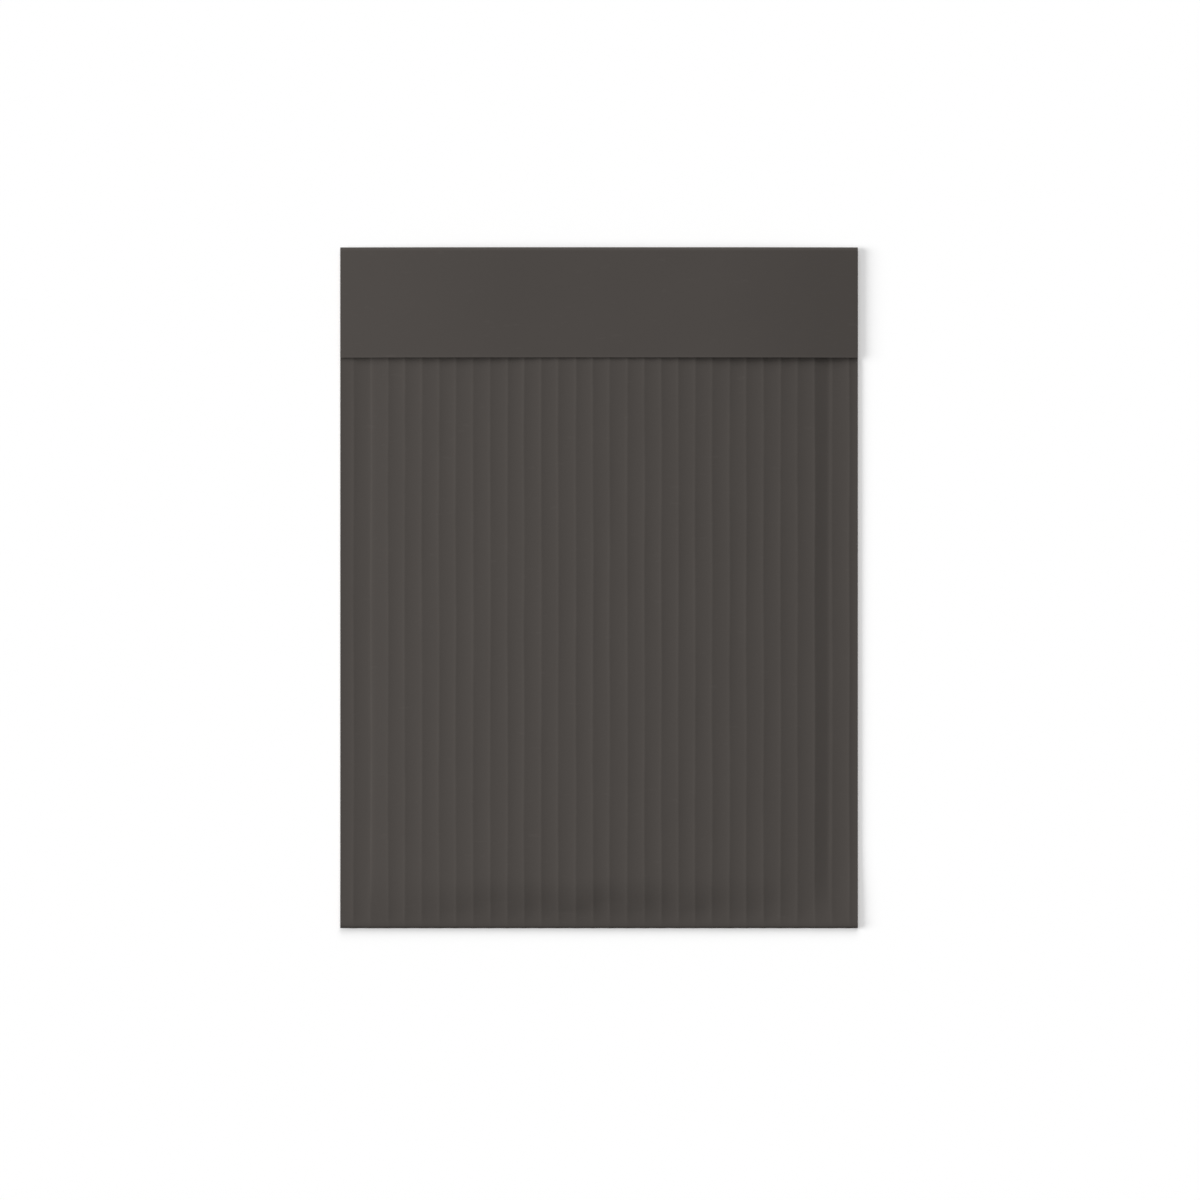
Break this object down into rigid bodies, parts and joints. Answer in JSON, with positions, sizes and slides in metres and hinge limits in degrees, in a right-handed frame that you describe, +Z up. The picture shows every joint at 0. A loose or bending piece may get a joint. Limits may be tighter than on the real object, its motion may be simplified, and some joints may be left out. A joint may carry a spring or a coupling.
{
  "type": "padded envelope",
  "caption": "Flat paper mailer with a fluted lining, pressed side seams and a smooth flap folded over its mouth, lying on its back.",
  "frame": {"origin": "middle of the footprint, on the surface the envelope lies on", "axes": "+X across the envelope, +Y from the bottom fold to the flap's fold, +Z up from the back to the front"},
  "size_m": [0.2414, 0.3174, 0.0086],
  "materials": {
    "outer_paper": "matte dyed kraft, dark warm grey",
    "lining_paper": "matte natural kraft",
    "adhesive": "satin hot-melt adhesive",
    "release_paper": "smooth coated release paper"
  },
  "bodies": {
    "root": {"outer_sheet": "outer_paper", "fluted_lining": "lining_paper", "sealing_strip": "adhesive", "release_tape": "release_paper"}
  },
  "joints": []
}
